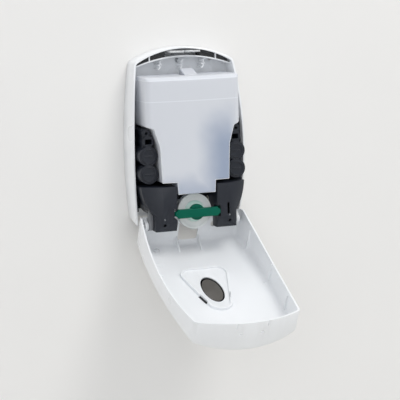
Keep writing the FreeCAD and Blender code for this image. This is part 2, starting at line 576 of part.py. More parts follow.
def yoke():
    """Cross bar with a toothed arm at each end."""
    half_h = BAR_H / 2
    bar = box(-BAR_HALF, BAR_HALF, BAR_FRONT, BAR_BACK, BAR_Z - half_h, BAR_Z + half_h)
    long_edges = edges_near(bar, lambda e: e.BoundBox.XLength > 60 and e.BoundBox.YMax < BAR_FRONT + 0.1)
    bar = bar.makeFillet(1.4, long_edges)
    rack_pitch_z = SHAFT_Z - PINION_R
    arm_low = -117.0
    arm_root = rack_pitch_z - DEDENDUM * MODULE
    arm_end = -28.0
    tooth = math.pi * MODULE
    half_tooth = (tooth / 2 - BACKLASH / 2) / 2
    arm = box(*ARM_X, BAR_BACK + 3.0, arm_end, -114.0, arm_root)
    tip = BAR_HALF + 4.0
    tongue = prism([(BAR_HALF, BAR_FRONT + 0.6, BAR_Z + 5.5), (tip, BAR_FRONT + 0.6, BAR_Z + 2.6),
                    (tip, BAR_FRONT + 0.6, BAR_Z - 2.6), (BAR_HALF, BAR_FRONT + 0.6, BAR_Z - 5.5)],
                   (0, BAR_BACK - BAR_FRONT - 0.6, 0))
    web = box(BAR_HALF - 3.0, ARM_X[1], BAR_BACK - 0.2, BAR_BACK + 3.5, BAR_Z - 3.5, BAR_Z + 3.5)
    shank = box(*ARM_X, BAR_BACK - 0.2, BAR_BACK + 3.5, arm_low, arm_root)
    parts = [arm, tongue, web, shank]
    for k in range(-RACK_TEETH, 3):
        y = SHAFT_Y + (k + 0.5) * tooth
        if y + half_tooth * 2 > arm_end:
            continue
        low, high = -DEDENDUM * MODULE - 0.2, ADDENDUM * MODULE
        spread = math.tan(PRESSURE)
        parts.append(prism([
            (ARM_X[0], y - half_tooth + low * spread, rack_pitch_z + low),
            (ARM_X[0], y - half_tooth + high * spread, rack_pitch_z + high),
            (ARM_X[0], y + half_tooth - high * spread, rack_pitch_z + high),
            (ARM_X[0], y + half_tooth - low * spread, rack_pitch_z + low),
        ], (ARM_X[1] - ARM_X[0], 0, 0)))
    right = fuse(parts[0], *parts[1:])
    return fuse(bar, right, mirrored(right))


save("actuator_yoke", yoke())
BUTTON_R = 12.5
button = rod_y(0, PUMP_Z, BUTTON_R, BAR_BACK, PUMP_FRONT - DOME_H - 0.4)
nose = edges_near(button, lambda e: e.BoundBox.YMin > BAR_BACK + 1)
save("plunger_button", button.makeFillet(1.5, nose))
save("return_springs", *[spring((sx * 38.2, BAR_BACK + 3.8, BAR_Z), (0, 1, 0), 1.9, 0.3, 10.4, 3)
                         for sx in (-1, 1)])

# ---- electronics ------------------------------------------------------------------------------
board = box(38, 66, -15.0, -16.6, -109, -78)
save("circuit_board", board)
save("board_chips", box(48, 58, -16.6, -18.4, -92, -82), box(53, 63, -16.6, -19.4, -107, -97),
     box(60, 64, -16.6, -18.0, -92, -84))
save("hand_sensor", fuse(rod_z(42, -66, 3.6, -138.4, -132), rod_z(42, -66, 4.6, -132, -130)))

# ---- front cover ------------------------------------------------------------------------------
def front_cover():
    body = cover_form(0, COVER_EDGE_R).cut(cover_form(WALL, COVER_EDGE_R - WALL))
    body = body.cut(parting_drum(PART_GAP))
    corner = box(-120, 120, HINGE_Y, 40, HINGE_Z, -200).cut(
        rod_x(HINGE_Y, HINGE_Z, KNUCKLE_R, -130, 130))
    body = body.cut(corner)
    hollow = cover_form(WALL - 0.6, COVER_EDGE_R - WALL + 0.6)
    # two fins beside the nozzle opening
    fins = []
    for side in (-1, 1):
        fin = prism([(side * 18.6 - 0.9, -120, FLOOR_Z - 2), (side * 18.6 - 0.9, -84, FLOOR_Z - 2),
                     (side * 18.6 - 0.9, -88, FLOOR_Z + 6), (side * 18.6 - 0.9, -98, -119),
                     (side * 18.6 - 0.9, -120, -119)], (1.8, 0, 0))
        fins.append(fin.common(hollow))
    # bored lugs that turn on the hinge pins
    for side in (-1, 1):
        x0, x1 = sorted((side * LUG_X[0], side * LUG_X[1]))
        lug = fuse(rod_x(HINGE_Y, HINGE_Z, 7.0, x0, x1),
                   box(x0, x1, HINGE_Y - 7.0, HINGE_Y + 7.0, HINGE_Z, FLOOR_Z - 0.5))
        fins.append(lug)
    # wall ribs
    inside = outline(WALL + SIDE_RIB_REACH, 30, -130).common(crown(WALL + 0.6))
    for z in SIDE_RIB_Z:
        for side in (-1, 1):
            rib = box(side * (BELLY_HALF - 12), side * (BELLY_HALF + 1), -52, -110, z - 0.7, z + 0.7)
            fins.append(rib.common(hollow).cut(inside))
    body = fuse(body, *fins)
    slot = box(-16.5, 16.5, -30, -96, FOOT_Z - 2, FLOOR_Z + 0.01)
    ends = edges_near(slot, lambda e: e.BoundBox.ZLength > 2 and e.BoundBox.YMax < -90)
    slot = slot.makeFillet(8.0, ends)
    bores = rod_x(HINGE_Y, HINGE_Z, PIN_R + RUN_CLEAR, -LUG_X[1] - 2, LUG_X[1] + 2)
    key_slots = [box(sx * 17 - 2.4, sx * 17 + 2.4, -50, -53, 120, 150) for sx in (-1, 1)]
    rim_notches = [box(sx * 24.5 - 0.7, sx * 24.5 + 0.7, -30, -41, 128, 150) for sx in (-1, 1)]
    sensor_port = [rod_z(sx * 42, -66, 5.5, FOOT_Z - 2, FLOOR_Z + 1) for sx in (-1, 1)]
    return drop(body, slot, bores, window_hole(0), *key_slots, *rim_notches,
                *sensor_port)




def window_hole(grow):
    ellipse = Part.Ellipse(V(0, -130, WINDOW_Z), WINDOW_B + grow, WINDOW_A + grow).toShape()
    ellipse.rotate(V(0, -130, WINDOW_Z), V(0, 1, 0), 90)
    ellipse.rotate(V(0, -130, WINDOW_Z), V(0, 0, 1), 90)
    wire = Part.Wire(ellipse)
    return Part.Face(wire).extrude(V(0, 70, 0))


def badge_form(grow, depth):
    """Rounded triangle round the window, point upwards, down to a depth from the crown."""
    half, top, low = BADGE_HALF + grow, BADGE_TOP + 3.6 * grow, BADGE_LOW - grow
    face = prism([(-half, -130, low), (half, -130, low), (0, -130, top)], (0, 80, 0))
    upright = edges_near(face, lambda e: abs(e.BoundBox.YLength - 80) < 1e-3)
    face = face.makeFillet(BADGE_R + grow, upright)
    return face.common(crown(WALL + 0.02)).cut(crown(WALL + depth))


COVER = front_cover()
save("front_cover", open_cover(COVER))

plate = badge_form(0, 4.5).cut(badge_form(-5.0, 9.0))
floor_plate = badge_form(-5.0, 1.8)
left_slot = prism([(-28.4, -130, 1), (-24.6, -130, 0), (-19.0, -130, 19), (-22.6, -130, 20)],
                  (0, 70, 0))
right_slit = prism([(22.6, -130, 0), (24.0, -130, 0), (18.6, -130, 15), (17.2, -130, 15)], (0, 70, 0))
bezel = drop(fuse(plate, floor_plate), window_hole(-1.0), left_slot, right_slit)
save("window_bezel", open_cover(bezel))
lens = window_hole(-0.2).common(crown(0.4)).cut(crown(WALL - 0.02))
save("window_lens", open_cover(lens))
dome_at = V(-57.0, -95.0, -122.0)
stud = fuse(rod_y(dome_at.x, dome_at.z, 4.0, -110.0, dome_at.y),
            Part.makeSphere(4.0, dome_at))
stud = stud.common(cover_form(WALL + 0.02, COVER_EDGE_R - WALL))
save("light_guide", open_cover(stud))
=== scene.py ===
"""Wall mounted foam soap dispenser with its front cover hanging open.

The fixed frame gives every moulded and metal part its place. This file gives
them their finishes, makes the blown refill bottle and the smaller detail, and
sets up a plain wall, a floor, soft lights and the camera.
"""

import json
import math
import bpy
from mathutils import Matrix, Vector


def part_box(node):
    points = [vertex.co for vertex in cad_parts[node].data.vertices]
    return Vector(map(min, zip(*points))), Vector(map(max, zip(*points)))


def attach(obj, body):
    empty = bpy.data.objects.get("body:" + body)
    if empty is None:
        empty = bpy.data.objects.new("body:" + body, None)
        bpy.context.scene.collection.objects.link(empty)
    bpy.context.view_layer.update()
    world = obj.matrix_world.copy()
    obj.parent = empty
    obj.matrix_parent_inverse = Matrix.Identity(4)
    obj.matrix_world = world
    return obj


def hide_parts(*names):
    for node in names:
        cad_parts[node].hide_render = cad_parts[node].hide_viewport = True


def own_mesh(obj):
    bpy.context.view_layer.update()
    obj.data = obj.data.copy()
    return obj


bl_info = {
    "name": "Wall Soap Dispenser",
    "version": (1, 0, 0),
    "blender": (4, 5, 0),
    "location": "View3D > Sidebar > Dispenser",
    "description": "Finishes and detail for a wall mounted foam soap dispenser",
    "category": "Object",
}

import bmesh
import bpy
from bpy.props import FloatProperty, FloatVectorProperty, PointerProperty
from mathutils import Matrix, Vector

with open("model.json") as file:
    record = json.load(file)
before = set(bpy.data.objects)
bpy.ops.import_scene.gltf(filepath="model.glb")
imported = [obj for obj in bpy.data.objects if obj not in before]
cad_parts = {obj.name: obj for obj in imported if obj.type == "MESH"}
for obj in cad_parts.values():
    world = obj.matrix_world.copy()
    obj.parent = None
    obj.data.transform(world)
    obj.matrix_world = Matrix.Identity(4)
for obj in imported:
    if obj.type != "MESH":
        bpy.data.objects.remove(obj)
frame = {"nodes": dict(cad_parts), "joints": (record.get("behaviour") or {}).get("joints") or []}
NODES = frame["nodes"]
JOINTS = {joint["name"]: joint for joint in frame["joints"]}
HINGE = JOINTS["cover_hinge"]
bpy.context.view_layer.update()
OPEN_ANGLE = math.radians(-HINGE["range_deg"][0])
MM = 0.001
MERGE = 0.01 * MM              # points closer than this are one point
FLAT_ANGLE = math.radians(0.6)   # triangles that turn less than this are one face
LENS_HALF_X = 16.5 * MM        # half width and half height of the window opening
LENS_HALF_Z = 33.0 * MM
BOTTLE_TOP = 100.0 * MM
SHADE_X = 34.0 * MM            # where the painted shade of the dark carrier is strongest on the refill
CREASE = 0.9 * MM              # half height of a raised line on the refill
BEAD = 0.75 * MM               # radius of the pinched rim along the refill's edge


# ---- colour and shader helpers -------------------------------------------------
def linear(code):
    """Linear colour from an sRGB code such as 'F2F3F5'."""
    parts = [int(code[i:i + 2], 16) / 255 for i in (0, 2, 4)]
    return tuple(p / 12.92 if p <= 0.04045 else ((p + 0.055) / 1.055) ** 2.4 for p in parts)


def add(tree, kind, inputs=None, **settings):
    """Add one shader node; inputs are constants or the sockets that feed them."""
    node = tree.nodes.new(kind)
    for name, value in settings.items():
        setattr(node, name, value)
    for name, value in (inputs or {}).items():
        socket = node.inputs[name]
        if isinstance(value, bpy.types.NodeSocket):
            tree.links.new(value, socket)
        elif socket.type == "RGBA" and len(value) == 3:
            socket.default_value = (*value, 1.0)
        else:
            socket.default_value = value
    return node


def new_material(name):
    """Empty node tree, and the object coordinates in metres."""
    material = bpy.data.materials.new(name)
    material.use_nodes = True
    tree = material.node_tree
    tree.nodes.clear()
    place = add(tree, "ShaderNodeTexCoord").outputs["Object"]
    return material, tree, place


def close_material(tree, surface):
    """Feed the finished surface to the material's output."""
    add(tree, "ShaderNodeOutputMaterial", {"Surface": surface})


def noise(tree, place, size_mm, detail=2.0, roughness=0.5):
    """Noise whose lumps are about size_mm across."""
    return add(tree, "ShaderNodeTexNoise", {
        "Vector": place, "Scale": 1000.0 / size_mm, "Detail": detail, "Roughness": roughness,
    }).outputs["Fac"]


def spread(tree, value, low, high, from_low=0.3, from_high=0.7):
    """Stretch a noise value to the range from low to high."""
    return add(tree, "ShaderNodeMapRange", {
        "Value": value, "From Min": from_low, "From Max": from_high, "To Min": low, "To Max": high,
    }).outputs["Result"]


def blend(tree, factor, first, second):
    """Colour mix of two constants or sockets."""
    node = add(tree, "ShaderNodeMix", data_type="RGBA")
    for index, value in ((0, factor), (6, first), (7, second)):
        socket = node.inputs[index]
        if isinstance(value, bpy.types.NodeSocket):
            tree.links.new(value, socket)
        else:
            socket.default_value = (*value, 1.0) if index else value
    return node.outputs[2]


def bump(tree, height, depth_mm, strength=1.0, under=None):
    """Relief of depth_mm from a height, laid over another relief if there is one."""
    inputs = {"Height": height, "Distance": depth_mm * MM, "Strength": strength}
    if under:
        inputs["Normal"] = under
    return add(tree, "ShaderNodeBump", inputs).outputs["Normal"]


# ---- finishes ---------------------------------------------------------------------
def gloss_abs(name, base, shade, sink_mm=26.0):
    """Injection moulded gloss ABS: long soft sink marks bend its highlights a
    little, and broad handling haze softens them."""
    material, tree, place = new_material(name)
    cloud = noise(tree, place, 60.0, 2.0)
    haze = noise(tree, place, 70.0, 1.0)
    colour = blend(tree, spread(tree, cloud, 0.0, 1.0), base, shade)
    waves = bump(tree, noise(tree, place, sink_mm, 1.0), 0.2, 0.18)
    surface = add(tree, "ShaderNodeBsdfPrincipled", {
        "Base Color": colour, "Roughness": spread(tree, haze, 0.27, 0.33), "IOR": 1.53,
        "Coat Weight": 0.15, "Coat Roughness": 0.12, "Normal": waves,
    }).outputs["BSDF"]
    close_material(tree, surface)
    return material


def satin_plastic(name, base, shade, rough=(0.38, 0.5), grain_mm=0.35, depth_mm=0.012, shine=0.5):
    """Moulded satin plastic: an even fine mould grain under faint clouding."""
    material, tree, place = new_material(name)
    cloud = noise(tree, place, 22.0, 3.0)
    colour = blend(tree, spread(tree, cloud, 0.0, 1.0), base, shade)
    waves = bump(tree, noise(tree, place, 14.0, 1.0), 0.12, 0.25)
    grain = bump(tree, noise(tree, place, grain_mm, 2.0), depth_mm, 0.5, waves)
    surface = add(tree, "ShaderNodeBsdfPrincipled", {
        "Base Color": colour, "Roughness": spread(tree, cloud, *rough), "IOR": 1.5,
        "Specular IOR Level": shine, "Normal": grain,
    }).outputs["BSDF"]
    close_material(tree, surface)
    return material


def spark_textured_abs(name, base, scuff):
    """Charcoal ABS from a spark eroded mould: a fine pebbled grain, a few
    paler scuffs, and a soft sheen."""
    material, tree, place = new_material(name)
    rub = spread(tree, noise(tree, place, 8.0, 6.0, 0.7), 0.0, 0.5, 0.55, 0.8)
    colour = blend(tree, rub, base, scuff)
    pebble = add(tree, "ShaderNodeTexVoronoi", {"Vector": place, "Scale": 1000.0 / 0.6},
                 feature="SMOOTH_F1").outputs["Distance"]
    waves = bump(tree, noise(tree, place, 10.0, 1.0), 0.15, 0.3)
    grain = bump(tree, pebble, 0.02, 0.35, waves)
    surface = add(tree, "ShaderNodeBsdfPrincipled", {
        "Base Color": colour, "Roughness": spread(tree, noise(tree, place, 5.0, 3.0), 0.34, 0.46),
        "IOR": 1.52, "Specular IOR Level": 0.4, "Normal": grain,
    }).outputs["BSDF"]
    close_material(tree, surface)
    return material


def frosted_hdpe_with_painted_shade(name, base, painted_shade_tint, side_x, foot_z, seams):
    """Frosted HDPE: light soaks into the thin waxy wall and spreads. Towards one side and the foot a
    cooler tone is painted by place as painted shade for the dark carrier behind it, and its raised
    lines are a little paler."""
    material, tree, place = new_material(name)
    drift = add(tree, "ShaderNodeTexNoise", {"Vector": place, "Scale": 22.0}).outputs["Color"]
    bent = add(tree, "ShaderNodeVectorMath", {0: drift, 1: (0.02, 0.0, 0.04), 2: place},
               operation="MULTIPLY_ADD")
    parts = add(tree, "ShaderNodeSeparateXYZ", {"Vector": bent.outputs[0]}).outputs

    def ramp(value, start, end, top=1.0):
        return add(tree, "ShaderNodeMapRange", {
            "Value": value, "From Min": start, "From Max": end, "To Min": 0.0, "To Max": top,
        }, interpolation_type="SMOOTHSTEP").outputs["Result"]

    # painted shade: a cooler tone towards one side and the foot, standing for the dark carrier's
    # shadow
    side = ramp(parts["X"], side_x - 0.030, side_x + 0.022)
    upper = ramp(parts["Z"], 0.085, 0.010)
    edge = ramp(parts["X"], side_x + 0.052, side_x + 0.030)
    foot = ramp(parts["Z"], foot_z + 0.055, foot_z + 0.018, 0.62)
    near = add(tree, "ShaderNodeMath", {0: side, 1: upper}, operation="MULTIPLY").outputs[0]
    near = add(tree, "ShaderNodeMath", {0: near, 1: edge}, operation="MULTIPLY").outputs[0]
    painted_shade = add(tree, "ShaderNodeMath", {0: near, 1: foot}, operation="MAXIMUM").outputs[0]
    colour = blend(tree, painted_shade, base, painted_shade_tint)
    height = add(tree, "ShaderNodeSeparateXYZ", {"Vector": place}).outputs["Z"]
    lines = [add(tree, "ShaderNodeMath", {0: height, 1: at, 2: 0.8 * MM}, operation="COMPARE")
             for at in seams]
    pinch = add(tree, "ShaderNodeMath", {0: lines[0].outputs[0], 1: lines[1].outputs[0]},
                operation="MAXIMUM").outputs[0]
    colour = blend(tree, pinch, colour, tuple(min(1.0, c * 1.12) for c in base))
    skin = bump(tree, noise(tree, place, 30.0, 2.0), 0.4, 0.25)
    frost = bump(tree, noise(tree, place, 0.9, 3.0), 0.006, 0.3, skin)
    surface = add(tree, "ShaderNodeBsdfPrincipled", {
        "Base Color": colour, "Roughness": spread(tree, noise(tree, place, 6.0, 3.0), 0.36, 0.48),
        "IOR": 1.5, "Subsurface Weight": 0.3, "Subsurface Radius": (1.0, 1.0, 1.0),
        "Subsurface Scale": 0.004, "Normal": frost,
    }).outputs["BSDF"]
    close_material(tree, surface)
    return material


def clear_plastic(name, tint, rough, transmission=1.0, oval=None):
    """Clear or smoked polycarbonate, with faint flow waves and wiping haze. An
    oval lens has a black border printed on its back."""
    material, tree, place = new_material(name)
    haze = noise(tree, place, 4.0, 4.0, 0.6)
    colour = blend(tree, spread(tree, noise(tree, place, 18.0), 0.0, 1.0),
                   tint, tuple(c * 0.9 for c in tint))
    if oval:
        centre, tilt, half_x, half_z = oval
        lying = add(tree, "ShaderNodeMapping", {
            "Vector": place, "Location": centre, "Rotation": (tilt, 0.0, 0.0),
            "Scale": (half_x, 1.0, half_z)}, vector_type="TEXTURE").outputs[0]
        reach = add(tree, "ShaderNodeVectorMath", {0: lying}, operation="LENGTH").outputs["Value"]
        colour = blend(tree, spread(tree, reach, 0.0, 1.0, 0.86, 0.88), colour, linear("0E0F11"))
    flow = bump(tree, noise(tree, place, 12.0, 1.0), 0.2, 0.3)
    surface = add(tree, "ShaderNodeBsdfPrincipled", {
        "Base Color": colour, "Roughness": spread(tree, haze, rough, rough + 0.08), "IOR": 1.58,
        "Transmission Weight": transmission, "Normal": flow,
    }).outputs["BSDF"]
    close_material(tree, surface)
    return material


def soft_silicone(name, base, shade):
    """Cast silicone: smooth, slightly greasy, and lit from within."""
    material, tree, place = new_material(name)
    colour = blend(tree, spread(tree, noise(tree, place, 9.0), 0.0, 1.0), base, shade)
    skin = bump(tree, noise(tree, place, 0.8, 2.0), 0.01, 0.4)
    surface = add(tree, "ShaderNodeBsdfPrincipled", {
        "Base Color": colour, "Roughness": spread(tree, noise(tree, place, 3.0), 0.42, 0.55),
        "IOR": 1.41, "Subsurface Weight": 0.4, "Subsurface Radius": (1.0, 1.0, 1.0),
        "Subsurface Scale": 0.003, "Normal": skin,
    }).outputs["BSDF"]
    close_material(tree, surface)
    return material


def metal(name, base, stain, rough, brush_mm=0.25):
    """Plated or turned metal: fine drawn lines and a thin uneven stain."""
    material, tree, place = new_material(name)
    colour = blend(tree, spread(tree, noise(tree, place, 5.0, 3.0), 0.0, 1.0), base, stain)
    drawn = add(tree, "ShaderNodeMapping", {"Vector": place, "Scale": (0.08, 1.0, 1.0)}).outputs[0]
    lines = noise(tree, drawn, brush_mm, 2.0)
    surface = add(tree, "ShaderNodeBsdfPrincipled", {
        "Base Color": colour, "Metallic": 1.0, "Roughness": spread(tree, lines, *rough),
        "Normal": bump(tree, lines, 0.006, 0.5),
    }).outputs["BSDF"]
    close_material(tree, surface)
    return material


def circuit_mask(name, base, track):
    """Solder mask over copper tracks, which show as a slightly paler grid."""
    material, tree, place = new_material(name)
    grid = add(tree, "ShaderNodeTexBrick", {
        "Vector": add(tree, "ShaderNodeMapping", {
            "Vector": place, "Rotation": (math.pi / 2, 0.0, 0.0)}).outputs[0],
        "Scale": 1000.0 / 3.0, "Mortar Size": 0.06, "Color1": base, "Color2": base, "Mortar": track,
    })
    surface = add(tree, "ShaderNodeBsdfPrincipled", {
        "Base Color": grid.outputs["Color"],
        "Roughness": spread(tree, noise(tree, place, 2.0), 0.3, 0.4), "IOR": 1.5,
        "Normal": bump(tree, grid.outputs["Fac"], 0.03, 0.6),
    }).outputs["BSDF"]
    close_material(tree, surface)
    return material


def painted_wall(name, base, shade):
    """Matt painted plaster: roller stipple and broad uneven drying. Seen from
    behind, and by light on its way to the object, it isn't there."""
    material, tree, place = new_material(name)
    colour = blend(tree, spread(tree, noise(tree, place, 300.0, 2.0), 0.0, 1.0), base, shade)
    surface = add(tree, "ShaderNodeBsdfPrincipled", {
        "Base Color": colour, "Roughness": spread(tree, noise(tree, place, 40.0), 0.85, 0.95),
        "Normal": bump(tree, noise(tree, place, 1.2, 3.0), 0.05, 0.25),
    }).outputs["BSDF"]
    behind = add(tree, "ShaderNodeNewGeometry").outputs["Backfacing"]
    shadow = add(tree, "ShaderNodeLightPath").outputs["Is Shadow Ray"]
    away = add(tree, "ShaderNodeMath", {0: behind, 1: shadow}, operation="MAXIMUM").outputs[0]
    nothing = add(tree, "ShaderNodeBsdfTransparent").outputs[0]
    mixed = add(tree, "ShaderNodeMixShader")
    tree.links.new(away, mixed.inputs[0])
    tree.links.new(surface, mixed.inputs[1])
    tree.links.new(nothing, mixed.inputs[2])
    close_material(tree, mixed.outputs[0])
    return material


# ---- finishing the parts of the frame ------------------------------------------------
def dress(name, material, edge_mm=0.3, angle=32.0, segments=2):
    """Give a part of the frame its finish, with its triangles joined and its
    sharp edges broken by a small radius, or kept sharp if edge_mm is 0."""
    part = NODES[name]
    part.data.materials.clear()
    part.data.materials.append(material)
    for face in part.data.polygons:
        face.use_smooth = True
    weld = part.modifiers.new("joined", "WELD")
    weld.merge_threshold = MERGE
    if edge_mm:
        flats = part.modifiers.new("flats", "DECIMATE")
        flats.decimate_type = "DISSOLVE"
        flats.angle_limit = FLAT_ANGLE
        edge = part.modifiers.new("edge radius", "BEVEL")
        edge.width = edge_mm * MM
        edge.segments = segments
        edge.limit_method = "ANGLE"
        edge.angle_limit = math.radians(angle)
        edge.harden_normals = True
        edge.use_clamp_overlap = True
    else:
        crease = part.modifiers.new("creases", "EDGE_SPLIT")
        crease.split_angle = math.radians(angle)


def finish_piece(name, mesh, material, body, slot_name, *stands_for):
    """Turn a finished bmesh into an object that rides on a body."""
    data = bpy.data.meshes.new(name)
    mesh.to_mesh(data)
    mesh.free()
    piece = bpy.data.objects.new(name, data)
    bpy.context.scene.collection.objects.link(piece)
    data.materials.append(material)
    for face in data.polygons:
        face.use_smooth = True
    flatter = piece.modifiers.new("flat faces stay flat", "WEIGHTED_NORMAL")
    flatter.weight = 90
    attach(piece, body)
    if stands_for:
        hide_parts(*stands_for)


def squeezed(name):
    """Stand-in for a spring or a dome: a copy of its part's mesh that rides on the housing in the
    part's place."""
    piece = bpy.data.objects.new(name + "_soft", NODES[name].data.copy())
    bpy.context.scene.collection.objects.link(piece)
    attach(piece, "housing")
    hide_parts(name)
    NODES[name] = piece
    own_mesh(piece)


def pull_out(mesh, faces, way):
    """Extrude faces by a vector, and return the points that moved."""
    grown = bmesh.ops.extrude_face_region(mesh, geom=faces)["geom"]
    moved = [v for v in grown if isinstance(v, bmesh.types.BMVert)]
    bmesh.ops.translate(mesh, verts=moved, vec=way)
    return moved


# ---- settings a user may change ----------------------------------------------------------
class DispenserFinishSettings(bpy.types.PropertyGroup):
    casing: FloatVectorProperty(
        name="Casing white", description="Colour of the gloss casing and cover",
        subtype="COLOR", size=3, min=0, max=1, default=linear("F4F6F8"))
    carrier: FloatVectorProperty(
        name="Carrier charcoal", description="Colour of the carrier, battery tubes and drive blocks",
        subtype="COLOR", size=3, min=0, max=1, default=linear("1F232C"))
    yoke: FloatVectorProperty(
        name="Yoke green", description="Colour of the moving cross bar",
        subtype="COLOR", size=3, min=0, max=1, default=linear("00634E"))
    bottle: FloatVectorProperty(
        name="Refill white", description="Colour of the frosted refill bottle",
        subtype="COLOR", size=3, min=0, max=1, default=linear("D9DCE2"))
    # painted shade: the colour painted on the refill where the dark carrier behind it shades it
    bottle_painted_shade: FloatVectorProperty(
        name="Refill shade", description="Colour of the refill where the dark carrier shows in it",
        subtype="COLOR", size=3, min=0, max=1, default=linear("9DA9BE"))
    bottle_bow: FloatProperty(
        name="Refill bow", description="How far the refill's front sides fall back",
        default=7.0 * MM, min=0.0, max=20.0 * MM, unit="LENGTH", precision=4)
    bottle_corner: FloatProperty(
        name="Refill corner", description="Radius of the refill's tall front corners",
        default=9.0 * MM, min=1.0 * MM, max=20.0 * MM, unit="LENGTH", precision=4)
    bottle_seam: FloatProperty(
        name="Refill seam", description="Height of the seam across the refill",
        default=62.5 * MM, unit="LENGTH", precision=4)
    bottle_rim: FloatProperty(
        name="Refill rim", description="Height of the raised line under the refill's top",
        default=94.8 * MM, unit="LENGTH", precision=4)
    ridge_x: FloatProperty(
        name="Ridge place", description="Middle of the ridge on the refill's top",
        default=4.0 * MM, unit="LENGTH", precision=4)
    ridge_width: FloatProperty(
        name="Ridge width", description="Width of the ridge on the refill's top",
        default=21.0 * MM, min=5.0 * MM, unit="LENGTH", precision=4)
    edge: FloatProperty(
        name="Edge radius", description="Radius on the sharp edges of the moulded parts",
        default=0.35 * MM, min=0.0, max=2.0 * MM, unit="LENGTH", precision=5)


class DispenserStageSettings(bpy.types.PropertyGroup):
    wall: FloatVectorProperty(
        name="Wall", description="Colour of the wall behind the dispenser",
        subtype="COLOR", size=3, min=0, max=1, default=linear("F2F1EF"))
    floor: FloatVectorProperty(
        name="Floor", description="Colour of the floor below the dispenser",
        subtype="COLOR", size=3, min=0, max=1, default=linear("DDDBD6"))
    key_power: FloatProperty(
        name="Key light", description="Power of the large soft light", default=29.0,
        min=0.0, unit="POWER")
    fill_power: FloatProperty(
        name="Fill light", description="Power of the fill light", default=7.0,
        min=0.0, unit="POWER")
    room_light: FloatProperty(
        name="Room light", description="Strength of the even light of the room", default=0.80,
        min=0.0)
    distance: FloatProperty(
        name="Camera distance", description="From the camera to the point it looks at",
        default=2.0607, min=0.5, unit="LENGTH")


def settings():
    """Sizes and colours from the sidebar."""
    return bpy.context.scene.dispenser_finish


def shade_of(colour, factor):
    """Darker version of a colour, for the dips of a pattern."""
    return tuple(c * factor for c in colour)


# ---- operators -------------------------------------------------------------------------------
class DISPENSER_OT_casing(bpy.types.Operator):
    """Gloss white back shell, front cover and window surround"""
    bl_idname = "dispenser.casing"
    bl_label = "Casing"

    def execute(self, context):
        s = settings()
        white = gloss_abs("gloss ABS, injection moulded", tuple(s.casing), shade_of(s.casing, 0.965))
        for name in ("back_shell", "front_cover", "window_bezel"):
            dress(name, white, s.edge / MM)
        grey = satin_plastic("grey ABS, injection moulded", linear("8B8D90"), linear("7C7E82"),
                             (0.28, 0.38))
        dress("hinge_brackets", grey, 0.4)
        return {"FINISHED"}


class DISPENSER_OT_latch(bpy.types.Operator):
    """Smoked trim, clear latch tongues, light guide and window lens"""
    bl_idname = "dispenser.latch"
    bl_label = "Latch, trim and windows"

    def execute(self, context):
        smoked = clear_plastic("smoked acrylic, moulded and polished", linear("2B2D30"), 0.04, 0.25)
        clear = clear_plastic("clear polycarbonate, moulded", linear("F6F8FA"), 0.06, 0.35)
        low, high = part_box("window_lens")
        lens = clear_plastic("smoked acrylic lens, die cut", linear("6C6965"), 0.08, 0.15,
                             ((low + high) / 2, OPEN_ANGLE, LENS_HALF_X, LENS_HALF_Z))
        dress("latch_trim", smoked, 0.4)
        dress("latch_slider", clear, 0.3)
        dress("light_guide", clear, 0.0, 40.0)
        dress("window_lens", lens, 0.0, 40.0)
        return {"FINISHED"}


class DISPENSER_OT_carrier(bpy.types.Operator):
    """Charcoal carrier with its battery tubes and drive blocks"""
    bl_idname = "dispenser.carrier"
    bl_label = "Carrier"

    def execute(self, context):
        s = settings()
        charcoal = spark_textured_abs("charcoal ABS, spark eroded mould", tuple(s.carrier),
                                      linear("2E3138"))
        for name in ("carrier_tray", "battery_housing_left", "battery_housing_right",
                     "battery_caps_left", "battery_caps_right",
                     "drive_housing_left", "drive_housing_right"):
            dress(name, charcoal, 0.4)
        return {"FINISHED"}


